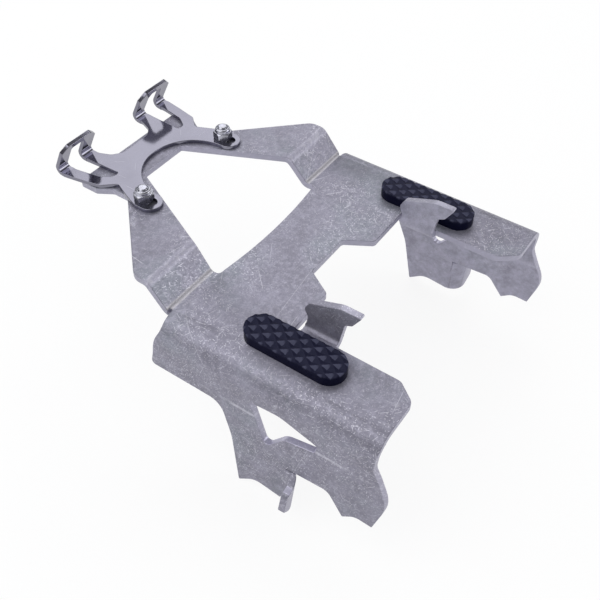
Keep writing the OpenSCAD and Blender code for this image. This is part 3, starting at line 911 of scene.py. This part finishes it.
def pad_surface(low, high, sizes):
    """Points of a pad round its middle: columns run round the rim, which is two straight sides and two half
    circles, and rows run from the centre line out over the top with the hollows of the tread, round the rim,
    down the side and back underneath to the centre line."""
    half_w = (high.x - low.x) / 2
    straight = (high.y - low.y) / 2 - half_w
    run = np.linspace(-1, 1, RUN_STEPS, endpoint=False)
    arc = np.linspace(0, math.pi, ARC_STEPS, endpoint=False)
    zero, one = np.zeros_like(run), np.ones_like(run)
    spine = np.concatenate([run, np.ones_like(arc), -run, -np.ones_like(arc)]) * straight
    out_x = np.concatenate([one, np.cos(arc), -one, -np.cos(arc)])
    out_y = np.concatenate([zero, np.sin(arc), zero, -np.sin(arc)])
    rim = sizes.pad_rim
    edge = quarter(RIM_ROWS - 1)
    inset = np.concatenate([np.linspace(half_w, rim, TOP_ROWS + 1)[:-1], rim - rim * np.sin(edge)])
    drop = np.concatenate([np.zeros(TOP_ROWS), rim - rim * np.cos(edge)])
    reach = half_w - inset
    x = reach[:, None] * out_x
    y = spine + reach[:, None] * out_y
    z = high.z - sizes.tread_depth * tread(x, y, sizes)[0] - drop[:, None]
    down = np.linspace(0, 1, SIDE_ROWS + 1)[1:, None]
    wall_z = z[-1] * (1 - down) + low.z * down
    x = np.concatenate([x, np.repeat(x[-1:], SIDE_ROWS, axis=0), np.zeros((1, len(spine)))])
    y = np.concatenate([y, np.repeat(y[-1:], SIDE_ROWS, axis=0), spine[None]])
    z = np.concatenate([z, wall_z, np.full((1, len(spine)), low.z)])
    return np.stack([x, y, z], axis=-1)


def pad_mesh(name, node, sizes):
    """Rubber pad on the computed surface, with the painted highlight of each point as an attribute."""
    low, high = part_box(node)
    middle = np.array([(low.x + high.x) / 2, (low.y + high.y) / 2, 0.0])
    mesh = grid_mesh(name, pad_surface(low, high, sizes) + middle)
    points = np.empty(len(mesh.vertices) * 3)
    mesh.vertices.foreach_get("co", points)
    points = points.reshape(-1, 3) - middle
    on_top = points[:, 2] > high.z - sizes.tread_depth - sizes.pad_rim
    worn = tread(points[:, 0], points[:, 1], sizes)[1] * on_top
    attribute = mesh.attributes.new("worn", "FLOAT", "POINT")
    attribute.data.foreach_set("value", worn.astype(np.float32))
    return mesh


# Operators for the pieces

class CRAMPON_OT_plate(bpy.types.Operator):
    """Finishes the aluminium plate with rounded cut edges"""

    bl_idname = "crampon.plate"
    bl_label = "Aluminium plate"

    def execute(self, context):
        sizes = context.scene.crampon_sizes
        mesh = sheet_copy("plate", "main_plate", plate_walls)
        piece = place_piece("plate", mesh, aluminium_material(), "scratched_aluminium", "plate", "main_plate")
        round_edges(piece, sizes.plate_edge, sizes.edge_steps)
        return {"FINISHED"}


class CRAMPON_OT_clip(bpy.types.Operator):
    """Finishes the steel clip with rounded cut edges"""

    bl_idname = "crampon.clip"
    bl_label = "Steel clip"

    def execute(self, context):
        sizes = context.scene.crampon_sizes
        mesh = sheet_copy("clip", "hook_clip", clip_walls)
        piece = place_piece("clip", mesh, steel_material(), "polished_steel", "clip", "hook_clip")
        round_edges(piece, sizes.clip_edge, sizes.edge_steps)
        return {"FINISHED"}


class CRAMPON_OT_pads(bpy.types.Operator):
    """Moulds the two rubber tread pads"""

    bl_idname = "crampon.pads"
    bl_label = "Tread pads"

    def execute(self, context):
        sizes = context.scene.crampon_sizes
        rubber = rubber_material()
        for side in SIDES:
            mesh = pad_mesh(side + "_tread_pad", side + "_pad", sizes)
            smooth(mesh, PAD_CREASE)
            place_piece(side + "_tread_pad", mesh, rubber, "black_rubber", "plate", side + "_pad")
        return {"FINISHED"}


class CRAMPON_OT_fasteners(bpy.types.Operator):
    """Turns the bolts, the lock nuts and their rings"""

    bl_idname = "crampon.fasteners"
    bl_label = "Bolts and lock nuts"

    def execute(self, context):
        sizes = context.scene.crampon_sizes
        zinc = zinc_material()
        nylon = nylon_material()
        for side in SIDES:
            bolt = bolt_mesh(side + "_screw", side + "_bolt", sizes)
            nut = nut_mesh(side + "_nut", side + "_lock_nut")
            ring = ring_mesh(side + "_ring", side + "_nut_ring")
            for mesh in (bolt, nut, ring):
                smooth(mesh, TURNED_CREASE)
            place_piece(side + "_screw", bolt, zinc, "zinc_steel", "plate", side + "_bolt")
            place_piece(side + "_nut", nut, zinc, "zinc_steel", "plate", side + "_lock_nut")
            place_piece(side + "_ring", ring, nylon, "nylon", "plate", side + "_nut_ring")
        return {"FINISHED"}


# Studio

def white_to_camera(tree):
    """1 for rays from the camera, from mirrors and through glass, and 0 for those that light the object."""
    path = add_node(tree, "ShaderNodeLightPath")
    seen = maths(tree, "ADD", path.outputs["Is Camera Ray"], path.outputs["Is Glossy Ray"], clamp=True)
    return maths(tree, "ADD", seen, path.outputs["Is Transmission Ray"], clamp=True)


def mirrored_room(tree, ceiling):
    """Brightness of the world as it is seen: white to the camera, and to polished faces a dim room with a
    white rim at the horizon."""
    direction = add_node(tree, "ShaderNodeTexCoord").outputs["Generated"]
    rise = add_node(tree, "ShaderNodeSeparateXYZ", {0: direction}).outputs[2]
    room = span(tree, rise, *HORIZON_RIM, 1.0, ceiling)
    glossy = add_node(tree, "ShaderNodeLightPath").outputs["Is Glossy Ray"]
    return add_node(tree, "ShaderNodeMix", {0: glossy, 2: 1.0, 3: room}, data_type="FLOAT").outputs[0]


def floor_material():
    """Pale floor: rays that are seen get mostly plain white and a little of the shaded floor, so a soft
    shadow stays. It is clear from below."""
    material, tree, shader, _ = new_material("pale_floor")
    shader.inputs["Base Color"].default_value = (*finish_colour("floor"), 1.0)
    shader.inputs["Roughness"].default_value = 0.9
    shader.inputs["Specular IOR Level"].default_value = 0.1
    glossy = add_node(tree, "ShaderNodeLightPath").outputs["Is Glossy Ray"]
    white = add_node(tree, "ShaderNodeEmission", {
        "Color": WHITE, "Strength": maths(tree, "MULTIPLY_ADD", glossy, -FLOOR_DIMMED, 1.0)})
    share = maths(tree, "MULTIPLY", white_to_camera(tree), FLOOR_WHITE)
    mixed = add_node(tree, "ShaderNodeMixShader", {0: share, 1: shader.outputs[0], 2: white.outputs[0]})
    clear = add_node(tree, "ShaderNodeBsdfTransparent")
    below = add_node(tree, "ShaderNodeNewGeometry").outputs["Backfacing"]
    both = add_node(tree, "ShaderNodeMixShader", {0: below, 1: mixed.outputs[0], 2: clear.outputs[0]})
    output = next(node for node in tree.nodes if node.type == "OUTPUT_MATERIAL")
    tree.links.new(both.outputs[0], output.inputs[0])
    return material


def build_floor(scene):
    """Square floor just under the object."""
    low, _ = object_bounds()
    ground = low.z - FLOOR_GAP
    corners = [(x * FLOOR_HALF, y * FLOOR_HALF, ground) for x, y in ((-1, -1), (1, -1), (1, 1), (-1, 1))]
    mesh = bpy.data.meshes.new("floor")
    mesh.from_pydata(corners, [], [(0, 1, 2, 3)])
    mesh.materials.append(floor_material())
    floor = bpy.data.objects.new("floor", mesh)
    scene.collection.objects.link(floor)
    floor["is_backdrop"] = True


def build_world(scene, studio):
    """Even light from all round, with another brightness for rays that are seen."""
    world = bpy.data.worlds.new("studio")
    scene.world = world
    world.use_nodes = True
    tree = world.node_tree
    tree.nodes.clear()
    dome = add_node(tree, "ShaderNodeBackground", {"Color": SKY_COLOUR, "Strength": studio.sky})
    white = add_node(tree, "ShaderNodeBackground", {
        "Color": WHITE, "Strength": mirrored_room(tree, studio.ceiling)})
    mixed = add_node(tree, "ShaderNodeMixShader", {
        0: white_to_camera(tree), 1: dome.outputs[0], 2: white.outputs[0]})
    output = add_node(tree, "ShaderNodeOutputWorld")
    tree.links.new(mixed.outputs[0], output.inputs[0])


def build_lamp(scene, name, power, size, place):
    """Broad round lamp at a place, turned to the origin."""
    light = bpy.data.lights.new(name, "AREA")
    light.energy = power
    light.shape = "DISK"
    light.size = size
    holder = bpy.data.objects.new(name, light)
    holder.location = place
    holder.rotation_euler = (-Vector(place)).to_track_quat("-Z", "Y").to_euler()
    scene.collection.objects.link(holder)


def build_camera(scene, studio):
    """Camera at its eye: back is the axis against the line of sight, from heading and elevation, and the two
    axes of the picture are turned about it by the roll."""
    camera = bpy.data.cameras.new("camera")
    camera.sensor_fit = "AUTO"
    camera.sensor_width = SENSOR_WIDTH
    camera.lens = studio.lens
    camera.clip_start, camera.clip_end = SIGHT
    camera.dof.use_dof = False
    holder = bpy.data.objects.new("camera", camera)
    scene.collection.objects.link(holder)
    a, e, r = studio.heading, studio.elevation, studio.roll
    back = Vector((math.sin(a) * math.cos(e), -math.cos(a) * math.cos(e), math.sin(e)))
    right = Vector((math.cos(a), math.sin(a), 0))
    up = back.cross(right)
    x_axis = right * math.cos(r) + up * math.sin(r)
    y_axis = up * math.cos(r) - right * math.sin(r)
    turn = Matrix((x_axis, y_axis, back)).transposed().to_4x4()
    holder.matrix_world = Matrix.Translation(Vector(studio.eye)) @ turn
    scene.camera = holder


class CRAMPON_OT_studio(bpy.types.Operator):
    """Sets up the floor, the light and the camera"""

    bl_idname = "crampon.studio"
    bl_label = "Studio"

    def execute(self, context):
        scene = context.scene
        studio = scene.crampon_studio
        build_floor(scene)
        build_world(scene, studio)
        for name, (size, place) in LAMPS.items():
            build_lamp(scene, name, getattr(studio, name), size, place)
        build_camera(scene, studio)
        scene.view_settings.view_transform = "Standard"
        return {"FINISHED"}


# Panel and registration

class CRAMPON_PT_panel(bpy.types.Panel):
    """Sizes, colours and the steps that build the crampon"""

    bl_idname = "CRAMPON_PT_panel"
    bl_label = "Ski crampon"
    bl_space_type = "VIEW_3D"
    bl_region_type = "UI"
    bl_category = "Crampon"

    def draw(self, context):
        scene = context.scene
        for group in (scene.crampon_sizes, scene.crampon_colours, scene.crampon_studio):
            column = self.layout.column(align=True)
            for name in group.__annotations__:
                column.prop(group, name)
        for step in STEPS:
            self.layout.operator(step.bl_idname)


STEPS = (CRAMPON_OT_plate, CRAMPON_OT_clip, CRAMPON_OT_pads, CRAMPON_OT_fasteners, CRAMPON_OT_studio)
CLASSES = (CramponSizes, CramponColours, CramponStudio, *STEPS, CRAMPON_PT_panel)


def register():
    """Registers the classes and the property groups."""
    for cls in CLASSES:
        bpy.utils.register_class(cls)
    bpy.types.Scene.crampon_sizes = PointerProperty(type=CramponSizes)
    bpy.types.Scene.crampon_colours = PointerProperty(type=CramponColours)
    bpy.types.Scene.crampon_studio = PointerProperty(type=CramponStudio)


def unregister():
    """Takes the classes and the property groups out again."""
    del bpy.types.Scene.crampon_studio
    del bpy.types.Scene.crampon_colours
    del bpy.types.Scene.crampon_sizes
    for cls in reversed(CLASSES):
        bpy.utils.unregister_class(cls)


def main():
    """Builds the pieces in order."""
    register()
    bpy.ops.crampon.plate()
    bpy.ops.crampon.clip()
    bpy.ops.crampon.pads()
    bpy.ops.crampon.fasteners()
    bpy.ops.crampon.studio()


if __name__ == "__main__":
    main()
